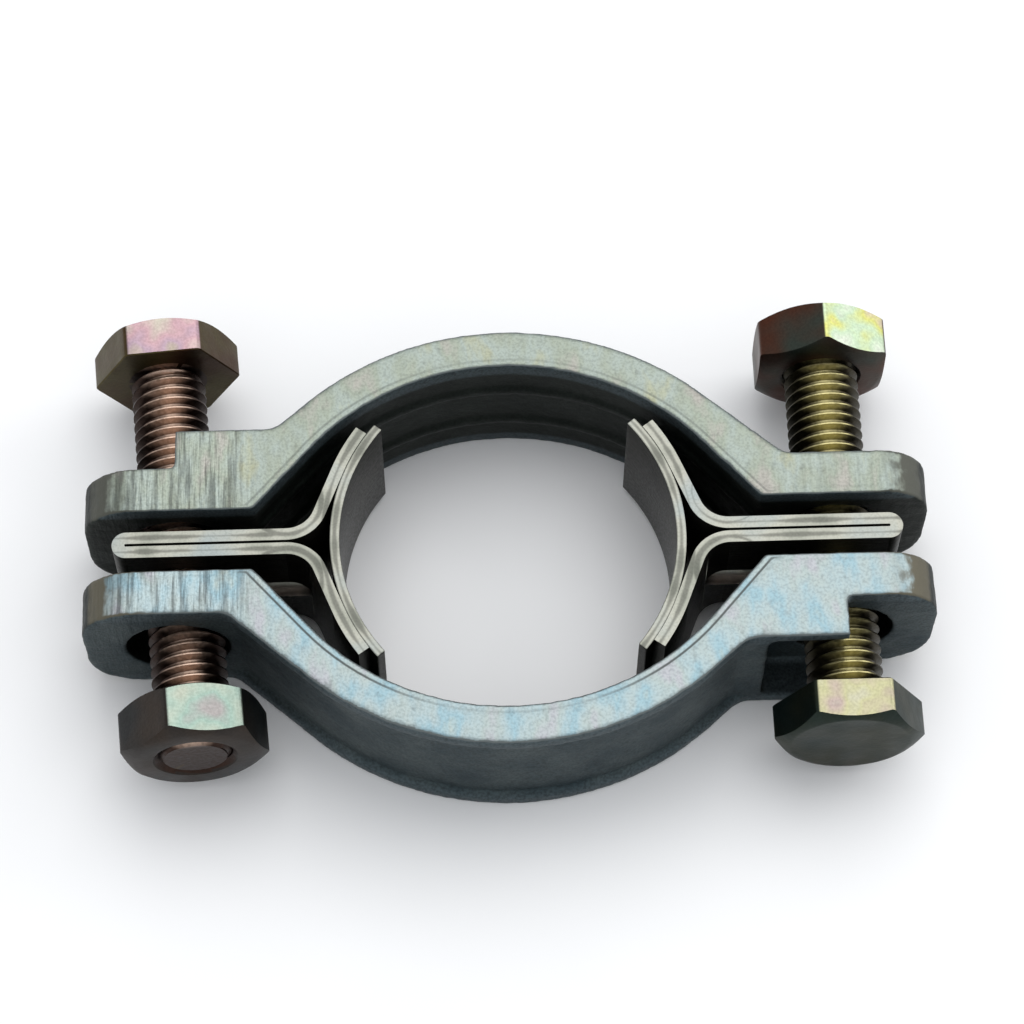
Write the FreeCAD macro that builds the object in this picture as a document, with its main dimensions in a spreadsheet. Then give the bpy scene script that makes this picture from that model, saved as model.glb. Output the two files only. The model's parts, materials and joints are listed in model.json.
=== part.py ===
import FreeCAD, Part
import math
import os
import Sketcher

# Double-bolt pipe and hose clamp, lying flat on its side.
# Two equal castings close round a hose end. A folded sheet saddle bridges each gap between their ears,
# and two hexagon bolts, pointing opposite ways, draw the castings together.
#
# Frame: the origin is on the pipe axis at mid width. X runs from ear to ear, Y runs along the bolts,
# Z runs along the pipe axis, up. All sizes are millimetres, all angles degrees.

DIMENSIONS = {
    # castings
    "clamp_width": 21.2,        # along the pipe axis
    "ear_gap": 8.2,             # between the facing ears, as assembled
    "ear_reach": 55.5,          # from the pipe axis to an ear's end
    "ear_thick": 6.5,
    "ear_end_radius": 7.2,
    "shoulder_thick": 12.0,     # ear and head pocket rim together
    "inner_corner": 32.8,       # half the mouth, at the ear's inner face
    "inner_slope": 48.8,
    "inner_radius": 33.8,
    "outer_corner": 36.5,       # half the back's width, at the ear's outer face
    "outer_slope": 41.4,
    "outer_radius": 39.4,
    "back_fillet": 3.0,         # where the curved back runs into an ear
    "web_recess": 0.9,          # the back's shallow channel
    "rim_width": 2.2,           # the rims beside that channel
    "ridge_height": 0.5,        # gripping ridges in the bore
    "ridge_width": 1.3,
    "ridge_offset": 4.1,
    "edge_round": 0.5,
    "clear_hole_radius": 6.6,   # the cast bolt holes
    "pocket_inner": 33.0,       # the head pocket's closed end
    "pocket_outer": 43.2,       # where the pocket's rims stop
    "pocket_half": 8.8,
    "pocket_round": 1.5,
    # bolts and nuts, M10
    "bolt_spread": 43.2,        # from the pipe axis to a bolt's axis
    "bolt_radius": 5.0,
    "bolt_length": 55.0,        # under the head
    "bolt_tip": 0.9,            # chamfer on the bolt's end
    "across_flats": 17.0,
    "head_thick": 5.5,
    "nut_thick": 7.2,
    "nut_bore_radius": 5.05,
    "hex_slope": 30.0,          # chamfer on the hexagons' corners
    "left_head_stand": 18.3,    # from an ear's outer face to the left bolt's head
    "left_nut_stand": 8.4,
    "left_nut_turn": 14.0,
    "left_lean": 4.5,           # the left bolt leans in its holes, about Z
    "left_lean_level": 4.0,     # where the leaning bolt crosses its holes' axis
    "right_head_stand": 10.4,
    "right_nut_stand": 16.3,
    "right_nut_turn": 29.0,
    # saddles, folded from sheet
    "saddle_width": 18.7,
    "sheet": 1.65,
    "fold_radius": 1.0,         # middle of the sheet, at the closed fold
    "fold_end": 51.2,           # from the pipe axis to the fold's outside
    "fork_start": 28.7,         # where the two layers part
    "fork_radius": 4.6,         # middle of the sheet
    "leg_end_angle": 35.8,
    "bridge_sheet": 1.3,
    "bridge_radius": 25.55,     # middle of the strip
    "bridge_end_angle": 39.5,
    "saddle_centre": -3.1,      # centre of the leg and bridge arcs, from the pipe axis outwards
    "saddle_hole_radius": 5.9,
    "bead_radius": 1.3,         # stiffening bead pressed into each layer
    "bead_start": 25.6,
    "bead_length": 8.7,
    "bead_level": -0.6,
}

# The nominal sheet: a name in column A, its size in column B, bound by its alias.
doc = FreeCAD.newDocument("clamp")
dims = doc.addObject("Spreadsheet::Sheet", "dims")
for row, (name, size) in enumerate(DIMENSIONS.items(), start=1):
    dims.set("A%d" % row, name)
    dims.set("B%d" % row, str(size))
    dims.setAlias("B%d" % row, name)
doc.recompute()

Z_AXIS = FreeCAD.Vector(0, 0, 1)
LEFT = "-dims.bolt_spread"
RIGHT = "dims.bolt_spread"
LEG_RADIUS = "(dims.bridge_radius + (dims.bridge_sheet + dims.sheet) / 2)"
HORIZONTAL_AXIS = -1
VERTICAL_AXIS = -2


def size_of(formula):
    """The value that a formula over the sheet's cells has now."""
    return float(dims.evalExpression(formula))


def origin_plane(body, role):
    for feature in body.Origin.OriginFeatures:
        if feature.Role == role:
            return feature
    raise ValueError("no origin plane %s" % role)


def new_sketch(body, name, role):
    sketch = body.newObject("Sketcher::SketchObject", name)
    sketch.AttachmentSupport = [(origin_plane(body, role), "")]
    sketch.MapMode = "FlatFace"
    return sketch


def bind_coordinate(sketch, geometry, point, kind, formula):
    """Hold one coordinate of a point at a formula's value, on the axis where that is zero."""
    value = size_of(formula)
    if abs(value) < 1e-9:
        axis = VERTICAL_AXIS if kind == "DistanceX" else HORIZONTAL_AXIS
        sketch.addConstraint(Sketcher.Constraint("PointOnObject", geometry, point, axis))
        return
    index = sketch.addConstraint(Sketcher.Constraint(kind, -1, 1, geometry, point, value))
    sketch.setExpression("Constraints[%d]" % index, formula)


def bind_point(sketch, geometry, point, x, y):
    bind_coordinate(sketch, geometry, point, "DistanceX", x)
    bind_coordinate(sketch, geometry, point, "DistanceY", y)


def bind_radius(sketch, geometry, formula):
    index = sketch.addConstraint(Sketcher.Constraint("Radius", geometry, size_of(formula)))
    sketch.setExpression("Constraints[%d]" % index, formula)


def draw_circle(sketch, x, y, radius):
    centre = FreeCAD.Vector(size_of(x), size_of(y), 0)
    circle = sketch.addGeometry(Part.Circle(centre, Z_AXIS, size_of(radius)))
    bind_point(sketch, circle, 3, x, y)
    bind_radius(sketch, circle, radius)


def corner_arc(before, corner, after, radius):
    """The arc that rounds a corner: its start, centre and end."""
    to_before = (before - corner).normalize()
    to_after = (after - corner).normalize()
    half = to_before.getAngle(to_after) / 2
    reach = radius / math.tan(half)
    middle = (to_before + to_after).normalize()
    return corner + to_before * reach, corner + middle * (radius / math.sin(half)), corner + to_after * reach


def draw_outline(sketch, corners):
    """A closed outline of straight sides. A corner is (x, y), or (x, y, radius) where it is rounded."""
    places = [FreeCAD.Vector(size_of(corner[0]), size_of(corner[1]), 0) for corner in corners]
    count = len(corners)
    arcs = {}
    for i, corner in enumerate(corners):
        if len(corner) == 3:
            arcs[i] = corner_arc(places[i - 1], places[i], places[(i + 1) % count], size_of(corner[2]))
    sides = []
    for i in range(count):
        following = (i + 1) % count
        start = arcs[i][2] if i in arcs else places[i]
        end = arcs[following][0] if following in arcs else places[following]
        sides.append(sketch.addGeometry(Part.LineSegment(start, end)))
    for i, corner in enumerate(corners):
        arriving = sides[i - 1]
        leaving = sides[i]
        if i not in arcs:
            sketch.addConstraint(Sketcher.Constraint("Coincident", arriving, 2, leaving, 1))
            bind_point(sketch, leaving, 1, corner[0], corner[1])
            continue
        mark = sketch.addGeometry(Part.Point(places[i]), True)
        bind_point(sketch, mark, 1, corner[0], corner[1])
        sketch.addConstraint(Sketcher.Constraint("PointOnObject", mark, 1, arriving))
        sketch.addConstraint(Sketcher.Constraint("PointOnObject", mark, 1, leaving))
        draw_tangent_arc(sketch, arriving, leaving, arcs[i], corner[2])


def draw_tangent_arc(sketch, arriving, leaving, arc, radius):
    """An arc from the end of one side to the start of the next, tangent to both."""
    start, centre, end = arc
    first = math.atan2(start.y - centre.y, start.x - centre.x)
    last = math.atan2(end.y - centre.y, end.x - centre.x)
    anticlockwise = (last - first) % (2 * math.pi) < math.pi
    circle = Part.Circle(centre, Z_AXIS, (start - centre).Length)
    if anticlockwise:
        shape = sketch.addGeometry(Part.ArcOfCircle(circle, first, last))
        start_point, end_point = 1, 2
    else:
        shape = sketch.addGeometry(Part.ArcOfCircle(circle, last, first))
        start_point, end_point = 2, 1
    sketch.addConstraint(Sketcher.Constraint("Tangent", arriving, 2, shape, start_point))
    sketch.addConstraint(Sketcher.Constraint("Tangent", shape, end_point, leaving, 1))
    bind_radius(sketch, shape, radius)


def pad(body, name, sketch, length, midplane=False):
    feature = body.newObject("PartDesign::Pad", name)
    feature.Profile = sketch
    feature.Midplane = midplane
    feature.setExpression("Length", length)
    return feature


def pocket(body, name, sketch, length, midplane=False, backwards=False):
    """Cut a sketch through the body, and stop if it cuts nothing."""
    doc.recompute()
    before = body.Shape.Volume
    feature = body.newObject("PartDesign::Pocket", name)
    feature.Profile = sketch
    feature.Midplane = midplane
    feature.Reversed = backwards
    feature.setExpression("Length", length)
    doc.recompute()
    if body.Shape.Volume > before - 1e-3:
        raise ValueError("%s in %s cuts nothing" % (name, body.Label))
    return feature


def mirror(body, name, originals, role):
    feature = body.newObject("PartDesign::Mirrored", name)
    feature.Originals = originals
    feature.MirrorPlane = (origin_plane(body, role), [""])
    body.Tip = feature
    doc.recompute()
    return feature


def round_edges(body, name, radius, wanted):
    """Fillet the body's edges that a test picks out."""
    doc.recompute()
    tip = body.Tip
    names = ["Edge%d" % i for i, edge in enumerate(tip.Shape.Edges, start=1) if wanted(edge)]
    if not names:
        raise ValueError("%s in %s finds no edge" % (name, body.Label))
    feature = body.newObject("PartDesign::Fillet", name)
    feature.Base = (tip, names)
    feature.setExpression("Radius", radius)
    doc.recompute()
    return feature


# Castings

def casting_corners(bore, back):
    """Half a clamp's outline, seen along the pipe.

    bore is how far the bore stands in and back how far the curved back lies in, as formulas.
    The outline starts at the plain ear's end (-X) and goes along the bore to the pocket ear's end (+X).
    """
    face = "-dims.ear_gap / 2"
    plate = "-dims.ear_gap / 2 - dims.ear_thick"
    shoulder = "-dims.ear_gap / 2 - dims.shoulder_thick"
    mouth = "(dims.inner_corner - (%s) / sin(dims.inner_slope))" % bore
    bore_depth = "-dims.ear_gap / 2 - %s * tan(dims.inner_slope)" % mouth
    bore_radius = "dims.inner_radius - (%s)" % bore
    width = "(dims.outer_corner - (%s) / sin(dims.outer_slope))" % back
    back_depth = "-dims.ear_gap / 2 - dims.ear_thick - %s * tan(dims.outer_slope)" % width
    back_radius = "dims.outer_radius - (%s)" % back
    rise = "(dims.shoulder_thick - dims.ear_thick) / tan(dims.outer_slope)"
    return [
        ("-dims.ear_reach", face),
        ("-" + mouth, face),
        ("0", bore_depth, bore_radius),
        (mouth, face),
        ("dims.ear_reach", face),
        ("dims.ear_reach", plate),
        ("dims.pocket_outer", plate),
        ("dims.pocket_outer", shoulder),
        ("%s - %s" % (width, rise), shoulder, "dims.back_fillet"),
        ("0", back_depth, back_radius),
        ("-" + width, plate, "dims.back_fillet"),
        ("-dims.ear_reach", plate),
    ]


def add_casting(name, turn):
    """One casting. The plain ear is at -X and the ear with the head pocket at +X, below the XZ plane."""
    body = doc.addObject("PartDesign::Body", name)
    body.Label = name

    outline = new_sketch(body, name + "_outline", "XY_Plane")
    draw_outline(outline, casting_corners("0", "dims.web_recess"))
    pad(body, name + "_plate", outline, "dims.clamp_width", midplane=True)

    # The rims stand on both sides of the back's channel.
    rim_outline = new_sketch(body, name + "_rim_outline", "XY_Plane")
    draw_outline(rim_outline, casting_corners("0", "0"))
    rim_outline.setExpression("AttachmentOffset.Base.z", "dims.clamp_width / 2 - dims.rim_width")
    rim = pad(body, name + "_rim", rim_outline, "dims.rim_width")

    ridge_outline = new_sketch(body, name + "_ridge_outline", "XY_Plane")
    draw_outline(ridge_outline, casting_corners("dims.ridge_height", "dims.web_recess"))
    ridge_outline.setExpression("AttachmentOffset.Base.z", "dims.ridge_offset - dims.ridge_width / 2")
    ridge = pad(body, name + "_ridge", ridge_outline, "dims.ridge_width")
    mirror(body, name + "_lower_side", [rim, ridge], "XY_Plane")

    # The ears' ends are rounded, seen along the bolts.
    def on_ear_end(edge):
        box = edge.BoundBox
        at_end = abs(abs(box.Center.x) - size_of("dims.ear_reach")) < 0.01
        at_side = abs(abs(box.Center.z) - size_of("dims.clamp_width / 2")) < 0.01
        return at_end and at_side and box.YLength > 1.0

    round_edges(body, name + "_ear_ends", "dims.ear_end_radius", on_ear_end)

    # Side faces are slightly rounded along the bore and the back.
    def on_side_face(edge):
        box = edge.BoundBox
        at_side = abs(abs(box.Center.z) - size_of("dims.clamp_width / 2")) < 0.01
        return at_side and box.ZLength < 0.01 and box.YLength > 3.0 and box.XLength > 3.0

    round_edges(body, name + "_side_edges", "dims.edge_round", on_side_face)

    head_pocket = new_sketch(body, name + "_head_pocket_outline", "XZ_Plane")
    draw_outline(head_pocket, [
        ("dims.pocket_inner", "-dims.pocket_half", "dims.pocket_round"),
        ("dims.ear_reach", "-dims.pocket_half"),
        ("dims.ear_reach", "dims.pocket_half"),
        ("dims.pocket_inner", "dims.pocket_half", "dims.pocket_round"),
    ])
    head_pocket.setExpression("AttachmentOffset.Base.z", "dims.ear_gap / 2 + dims.ear_thick")
    pocket(body, name + "_head_pocket", head_pocket, "dims.shoulder_thick", backwards=True)

    holes = new_sketch(body, name + "_hole_outlines", "XZ_Plane")
    draw_circle(holes, "dims.bolt_spread", "0", "dims.clear_hole_radius")
    draw_circle(holes, "-dims.bolt_spread", "0", "dims.clear_hole_radius")
    pocket(body, name + "_holes", holes, "4 * dims.shoulder_thick", midplane=True)

    body.Placement = FreeCAD.Placement(FreeCAD.Vector(0, 0, 0), FreeCAD.Rotation(Z_AXIS, turn))
    return body


# Bolts and nuts, made along their own Z axis

def draw_hexagon(sketch):
    """A hexagon with two flats across the sketch's vertical direction."""
    corner = "dims.across_flats / sqrt(3)"
    flat = "dims.across_flats / 2"
    draw_outline(sketch, [
        (corner, "0"),
        ("%s / 2" % corner, flat),
        ("-%s / 2" % corner, flat),
        ("-" + corner, "0"),
        ("-%s / 2" % corner, "-" + flat),
        ("%s / 2" % corner, "-" + flat),
    ])


def chamfer_hexagon(body, name, level, towards):
    """Turn the corners off a hexagon's end at a level, on the side given by towards (1 up, -1 down)."""
    doc.recompute()
    before = body.Shape.Volume
    outline = new_sketch(body, name + "_outline", "XZ_Plane")
    start = "0.47 * dims.across_flats"
    end = "0.65 * dims.across_flats"
    depth = "(%s - %s) * tan(dims.hex_slope)" % (end, start)
    sign = "-" if towards > 0 else "+"
    draw_outline(outline, [
        (start, level),
        (end, level),
        (end, "%s %s %s" % (level, sign, depth)),
    ])
    feature = body.newObject("PartDesign::Groove", name)
    feature.Profile = outline
    feature.ReferenceAxis = (outline, ["V_Axis"])
    feature.Angle = 360.0
    doc.recompute()
    if body.Shape.Volume > before - 1e-3:
        raise ValueError("%s in %s cuts nothing" % (name, body.Label))


def add_bolt(name, spread, stand, towards):
    """A hexagon bolt. towards is the way its tip points along Y, and stand places its head."""
    body = doc.addObject("PartDesign::Body", name)
    body.Label = name
    hexagon = new_sketch(body, name + "_hexagon", "XY_Plane")
    draw_hexagon(hexagon)
    head = pad(body, name + "_head", hexagon, "dims.head_thick")
    head.Reversed = True
    chamfer_hexagon(body, name + "_head_chamfer", "-dims.head_thick", -1)
    section = new_sketch(body, name + "_section", "XY_Plane")
    draw_circle(section, "0", "0", "dims.bolt_radius")
    pad(body, name + "_shank", section, "dims.bolt_length")

    def on_tip(edge):
        return abs(edge.BoundBox.Center.z - size_of("dims.bolt_length")) < 0.01

    doc.recompute()
    tip = body.Tip
    names = ["Edge%d" % i for i, edge in enumerate(tip.Shape.Edges, start=1) if on_tip(edge)]
    chamfer = body.newObject("PartDesign::Chamfer", name + "_tip")
    chamfer.Base = (tip, names)
    chamfer.setExpression("Size", "dims.bolt_tip")
    level = "-(dims.ear_gap / 2 + dims.ear_thick + dims.%s)" % stand
    place_along_y(body, spread, level, towards, "0")
    return body


def add_nut(name, spread, stand, towards, turn):
    """A hexagon nut. towards is the way from its outer face to the ear along Y."""
    body = doc.addObject("PartDesign::Body", name)
    body.Label = name
    hexagon = new_sketch(body, name + "_hexagon", "XY_Plane")
    draw_hexagon(hexagon)
    pad(body, name + "_block", hexagon, "dims.nut_thick")
    chamfer_hexagon(body, name + "_outer_chamfer", "0", -1)
    chamfer_hexagon(body, name + "_inner_chamfer", "dims.nut_thick", 1)
    bore = new_sketch(body, name + "_bore_outline", "XY_Plane")
    draw_circle(bore, "0", "0", "dims.nut_bore_radius")
    pocket(body, name + "_bore", bore, "4 * dims.nut_thick", midplane=True)
    level = "-(dims.ear_gap / 2 + dims.ear_thick + dims.%s + dims.nut_thick)" % stand
    place_along_y(body, spread, level, towards, turn)
    return body


def place_along_y(body, spread, level, towards, turn):
    """Stand a body's own Z axis along Y at a bolt's axis. towards 1 is along +Y, -1 along -Y."""
    spin = FreeCAD.Rotation(Z_AXIS, size_of(turn))
    lay = FreeCAD.Rotation(FreeCAD.Vector(1, 0, 0), -90 * towards)
    place = FreeCAD.Vector(size_of(spread), towards * size_of(level), 0)
    body.Placement = FreeCAD.Placement(place, lay.multiply(spin))


def lean_left(body):
    """Turn a placed piece about Z with the left bolt, which leans in its holes."""
    pivot = FreeCAD.Vector(size_of(LEFT), size_of("dims.left_lean_level"), 0)
    lean = FreeCAD.Rotation(Z_AXIS, size_of("dims.left_lean"))
    body.Placement = FreeCAD.Placement(FreeCAD.Vector(0, 0, 0), lean, pivot).multiply(body.Placement)
    return body


# Saddles

def draw_spine(sketch, steps):
    """A smooth open path of lines and arcs, tangent where they meet.

    A step is (start, end) for a line, or (start, end, centre, turn) for an arc, where turn is 1
    anticlockwise and -1 clockwise. Returns each step's geometry with its first and last point's number.
    """
    drawn = []
    for step in steps:
        start, end = step[:2]
        if len(step) == 2:
            drawn.append((sketch.addGeometry(Part.LineSegment(start, end)), 1, 2))
            continue
        centre, turn = step[2:]
        first = math.atan2(start.y - centre.y, start.x - centre.x)
        last = math.atan2(end.y - centre.y, end.x - centre.x)
        circle = Part.Circle(centre, Z_AXIS, (start - centre).Length)
        if turn > 0:
            drawn.append((sketch.addGeometry(Part.ArcOfCircle(circle, first, last)), 1, 2))
        else:
            drawn.append((sketch.addGeometry(Part.ArcOfCircle(circle, last, first)), 2, 1))
    for before, after in zip(drawn, drawn[1:]):
        sketch.addConstraint(Sketcher.Constraint("Tangent", before[0], before[2], after[0], after[1]))
    return drawn


def add_strip(body, name, spine, thickness, start_x):
    """Run a strip's section, centred at start_x on the X axis, along a spine that leaves it in -Y."""
    section = new_sketch(body, name + "_section", "XZ_Plane")
    near = "%s - %s / 2" % (start_x, thickness)
    far = "%s + %s / 2" % (start_x, thickness)
    draw_outline(section, [
        (near, "-dims.saddle_width / 2"),
        (far, "-dims.saddle_width / 2"),
        (far, "dims.saddle_width / 2"),
        (near, "dims.saddle_width / 2"),
    ])
    feature = body.newObject("PartDesign::AdditivePipe", name + "_sheet")
    feature.Profile = section
    feature.Spine = (spine, ["Edge%d" % i for i in range(1, spine.GeometryCount + 1)])
    doc.recompute()
    return feature


def add_strap(name, turn):
    """A folded strap: a closed fold at its end, two layers between the ears, and two forked legs."""
    body = doc.addObject("PartDesign::Body", name)
    body.Label = name
    vector = FreeCAD.Vector
    fold = size_of("dims.fold_radius")
    fold_x = size_of("dims.fold_end - dims.sheet / 2 - dims.fold_radius")
    fork = size_of("dims.fork_radius")
    leg = size_of(LEG_RADIUS)
    fork_centre = vector(size_of("dims.fork_start"), -fold - fork, 0)
    leg_centre = vector(size_of("dims.saddle_centre"), 0, 0)

    # A straight stretch crosses from the fork's arc to the leg's arc, tangent to both.
    between = fork_centre - leg_centre
    bearing = math.atan2(between.y, between.x) - math.acos((fork + leg) / between.Length)
    outward = vector(math.cos(bearing), math.sin(bearing), 0)
    fork_end = fork_centre - outward * fork
    leg_start = leg_centre + outward * leg
    leg_end_angle = math.radians(size_of("dims.leg_end_angle"))
    leg_end = leg_centre + vector(math.cos(leg_end_angle), -math.sin(leg_end_angle), 0) * leg

    spine = new_sketch(body, name + "_spine", "XY_Plane")
    turned = vector(fold_x, -fold, 0)
    parted = vector(fork_centre.x, -fold, 0)
    fold_arc, layer, fork_arc, stretch, leg_arc = draw_spine(spine, [
        (vector(fold_x + fold, 0, 0), turned, vector(fold_x, 0, 0), -1),
        (turned, parted),
        (parted, fork_end, fork_centre, 1),
        (fork_end, leg_start),
        (leg_start, leg_end, leg_centre, -1),
    ])
    bind_radius(spine, fold_arc[0], "dims.fold_radius")
    bind_radius(spine, fork_arc[0], "dims.fork_radius")
    bind_radius(spine, leg_arc[0], LEG_RADIUS)
    bind_point(spine, fold_arc[0], fold_arc[1], "dims.fold_end - dims.sheet / 2", "0")
    bind_coordinate(spine, fold_arc[0], 3, "DistanceY", "0")
    spine.addConstraint(Sketcher.Constraint("Horizontal", layer[0]))
    bind_coordinate(spine, fork_arc[0], 3, "DistanceX", "dims.fork_start")
    bind_point(spine, leg_arc[0], 3, "dims.saddle_centre", "0")
    bind_coordinate(spine, leg_arc[0], leg_arc[2], "DistanceY", "-%s * sin(dims.leg_end_angle)" % LEG_RADIUS)
    sheet = add_strip(body, name, spine, "dims.sheet", "(dims.fold_end - dims.sheet / 2)")

    # A short bead stiffens each layer where it forks.
    bead_outline = new_sketch(body, name + "_bead_outline", "YZ_Plane")
    draw_circle(bead_outline, "-dims.fold_radius - dims.sheet / 2", "dims.bead_level", "dims.bead_radius")
    bead_outline.setExpression("AttachmentOffset.Base.z", "dims.bead_start")
    bead = pad(body, name + "_bead", bead_outline, "dims.bead_length")
    mirror(body, name + "_other_side", [sheet, bead], "XZ_Plane")

    hole = new_sketch(body, name + "_hole_outline", "XZ_Plane")
    draw_circle(hole, "dims.bolt_spread", "0", "dims.saddle_hole_radius")
    pocket(body, name + "_hole", hole, "8 * dims.sheet", midplane=True)
    body.Placement = FreeCAD.Placement(FreeCAD.Vector(0, 0, 0), FreeCAD.Rotation(Z_AXIS, turn))
    return body


def add_bridge(name, turn):
    """The inner strip, welded to both legs, that carries the bore across the gap between the castings."""
    body = doc.addObject("PartDesign::Body", name)
    body.Label = name
    radius = size_of("dims.bridge_radius")
    centre = FreeCAD.Vector(size_of("dims.saddle_centre"), 0, 0)
    end_angle = math.radians(size_of("dims.bridge_end_angle"))
    start = centre + FreeCAD.Vector(radius, 0, 0)
    end = centre + FreeCAD.Vector(math.cos(end_angle), -math.sin(end_angle), 0) * radius
    spine = new_sketch(body, name + "_spine", "XY_Plane")
    arc, = draw_spine(spine, [(start, end, centre, -1)])
    bind_radius(spine, arc[0], "dims.bridge_radius")
    bind_point(spine, arc[0], 3, "dims.saddle_centre", "0")
    bind_coordinate(spine, arc[0], arc[1], "DistanceY", "0")
    bind_coordinate(spine, arc[0], arc[2], "DistanceY", "-dims.bridge_radius * sin(dims.bridge_end_angle)")
    sheet = add_strip(body, name, spine, "dims.bridge_sheet", "(dims.saddle_centre + dims.bridge_radius)")
    mirror(body, name + "_other_side", [sheet], "XZ_Plane")
    body.Placement = FreeCAD.Placement(FreeCAD.Vector(0, 0, 0), FreeCAD.Rotation(Z_AXIS, turn))
    return body


# The clamp as assembled: the back casting and the left saddle are turned half round the pipe axis.
pieces = [
    add_casting("front_half", 0),
    add_casting("back_half", 180),
    add_bolt("right_bolt", RIGHT, "right_head_stand", 1),
    lean_left(add_bolt("left_bolt", LEFT, "left_head_stand", -1)),
    lean_left(add_nut("left_nut", LEFT, "left_nut_stand", 1, "dims.left_nut_turn")),
    add_nut("right_nut", RIGHT, "right_nut_stand", -1, "dims.right_nut_turn"),
    add_strap("right_saddle_strap", 0),
    add_strap("left_saddle_strap", 180),
    add_bridge("right_saddle_bridge", 0),
    add_bridge("left_saddle_bridge", 180),
]
doc.recompute()

for item in doc.Objects:
    if "Invalid" in item.State or "Error" in item.State:
        raise ValueError("%s did not build: %s" % (item.Label, item.State))
for piece in pieces:
    if piece.Shape.isNull() or not piece.Shape.isValid():
        raise ValueError("%s has no valid shape" % piece.Label)
    if len(piece.Shape.Solids) != 1:
        raise ValueError("%s is not one solid" % piece.Label)

os.makedirs("parts", exist_ok=True)
for piece in pieces:
    piece.Shape.exportStep("parts/%s.step" % piece.Label)
    print("%-22s %8.1f mm3" % (piece.Label, piece.Shape.Volume))
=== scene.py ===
"""The finished look of the pipe repair clamp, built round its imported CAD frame.

Metres, in the frame's own axes: the pipe's axis is Z, the ears reach along X, and the bolts run along Y.
The castings, bolts and nuts are rebuilt here as finer meshes that stay inside their CAD solids. The
saddles keep their CAD meshes, with the sheet's edges eased by modifiers.
"""

import json
import math

import bmesh
import bpy
import numpy as np
from mathutils import Matrix, Quaternion, Vector, noise
from mathutils.kdtree import KDTree


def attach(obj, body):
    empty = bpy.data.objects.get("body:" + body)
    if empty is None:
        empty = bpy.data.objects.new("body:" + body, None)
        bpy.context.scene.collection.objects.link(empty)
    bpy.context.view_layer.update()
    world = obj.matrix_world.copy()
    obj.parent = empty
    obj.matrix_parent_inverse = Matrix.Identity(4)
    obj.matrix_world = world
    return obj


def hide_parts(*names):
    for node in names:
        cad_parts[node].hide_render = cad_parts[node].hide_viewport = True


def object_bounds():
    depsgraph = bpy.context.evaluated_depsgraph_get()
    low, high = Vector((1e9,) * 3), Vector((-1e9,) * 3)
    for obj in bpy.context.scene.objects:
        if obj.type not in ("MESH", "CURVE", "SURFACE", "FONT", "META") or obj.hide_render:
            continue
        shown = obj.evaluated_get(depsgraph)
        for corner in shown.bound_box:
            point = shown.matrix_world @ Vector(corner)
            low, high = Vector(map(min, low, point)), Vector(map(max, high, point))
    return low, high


MM = 0.001

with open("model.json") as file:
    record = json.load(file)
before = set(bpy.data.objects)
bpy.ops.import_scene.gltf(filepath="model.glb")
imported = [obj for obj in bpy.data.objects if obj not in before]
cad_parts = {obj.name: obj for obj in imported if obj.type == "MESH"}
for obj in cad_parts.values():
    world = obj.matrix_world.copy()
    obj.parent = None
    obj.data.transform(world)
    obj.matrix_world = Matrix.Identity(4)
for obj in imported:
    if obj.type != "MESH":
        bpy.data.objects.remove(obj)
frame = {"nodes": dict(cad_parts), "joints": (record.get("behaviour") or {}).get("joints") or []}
cad_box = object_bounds()
joints = {joint["name"]: joint for joint in frame["joints"]}


# ---------------------------------------------------------------- tints

# A ramp is a row of (position in the noise, colour) stops.
HALF_TINTS = {
    "front_half": (
        (0.30, (0.33, 0.34, 0.36)),
        (0.42, (0.30, 0.35, 0.34)),
        (0.52, (0.29, 0.36, 0.37)),
        (0.62, (0.23, 0.34, 0.38)),
        (0.74, (0.31, 0.36, 0.34)),
    ),
    "back_half": (
        (0.30, (0.30, 0.29, 0.26)),
        (0.44, (0.25, 0.28, 0.23)),
        (0.58, (0.27, 0.31, 0.28)),
        (0.72, (0.29, 0.30, 0.21)),
    ),
}
# Painted shade on the castings' rounded edges: a mid-grey half-shade, and darker brownish tints on the ears'
# rounded ends.
EAR_END_SHADE_TINTS = {"front_half": (0.120, 0.110, 0.080), "back_half": (0.090, 0.092, 0.076)}
ROUNDED_EDGE_HALF_SHADE_TINT = (0.14, 0.16, 0.16)
# Painted shade in the thin valley beside the bore's lip.
LIP_LINE_SHADE_TINT = (0.045, 0.050, 0.048)
# Painted shade and dark reflection on the as-cast skin: near black in the bore, dark blue on the outer web.
BORE_SHADE_TINTS = ((0.32, (0.006, 0.009, 0.007)), (0.68, (0.014, 0.018, 0.015)))
WEB_SHADE_TINTS = ((0.32, (0.022, 0.036, 0.042)), (0.68, (0.052, 0.068, 0.070)))
# A painted highlight along the web's rims, where their edges catch the light.
RIM_HIGHLIGHT_TINT = (0.060, 0.080, 0.088)

SHEARED_TINTS = ((0.30, (0.23, 0.24, 0.20)), (0.52, (0.35, 0.35, 0.30)), (0.72, (0.28, 0.31, 0.30)))
# The rolled faces' colour, painted dark as shade and dark reflection.
ROLLED_SHADE_TINTS = ((0.30, (0.012, 0.012, 0.009)), (0.70, (0.032, 0.031, 0.026)))
# A painted highlight on the stiffening beads.
BEAD_HIGHLIGHT_TINT = (0.80, 0.66, 0.56)

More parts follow.
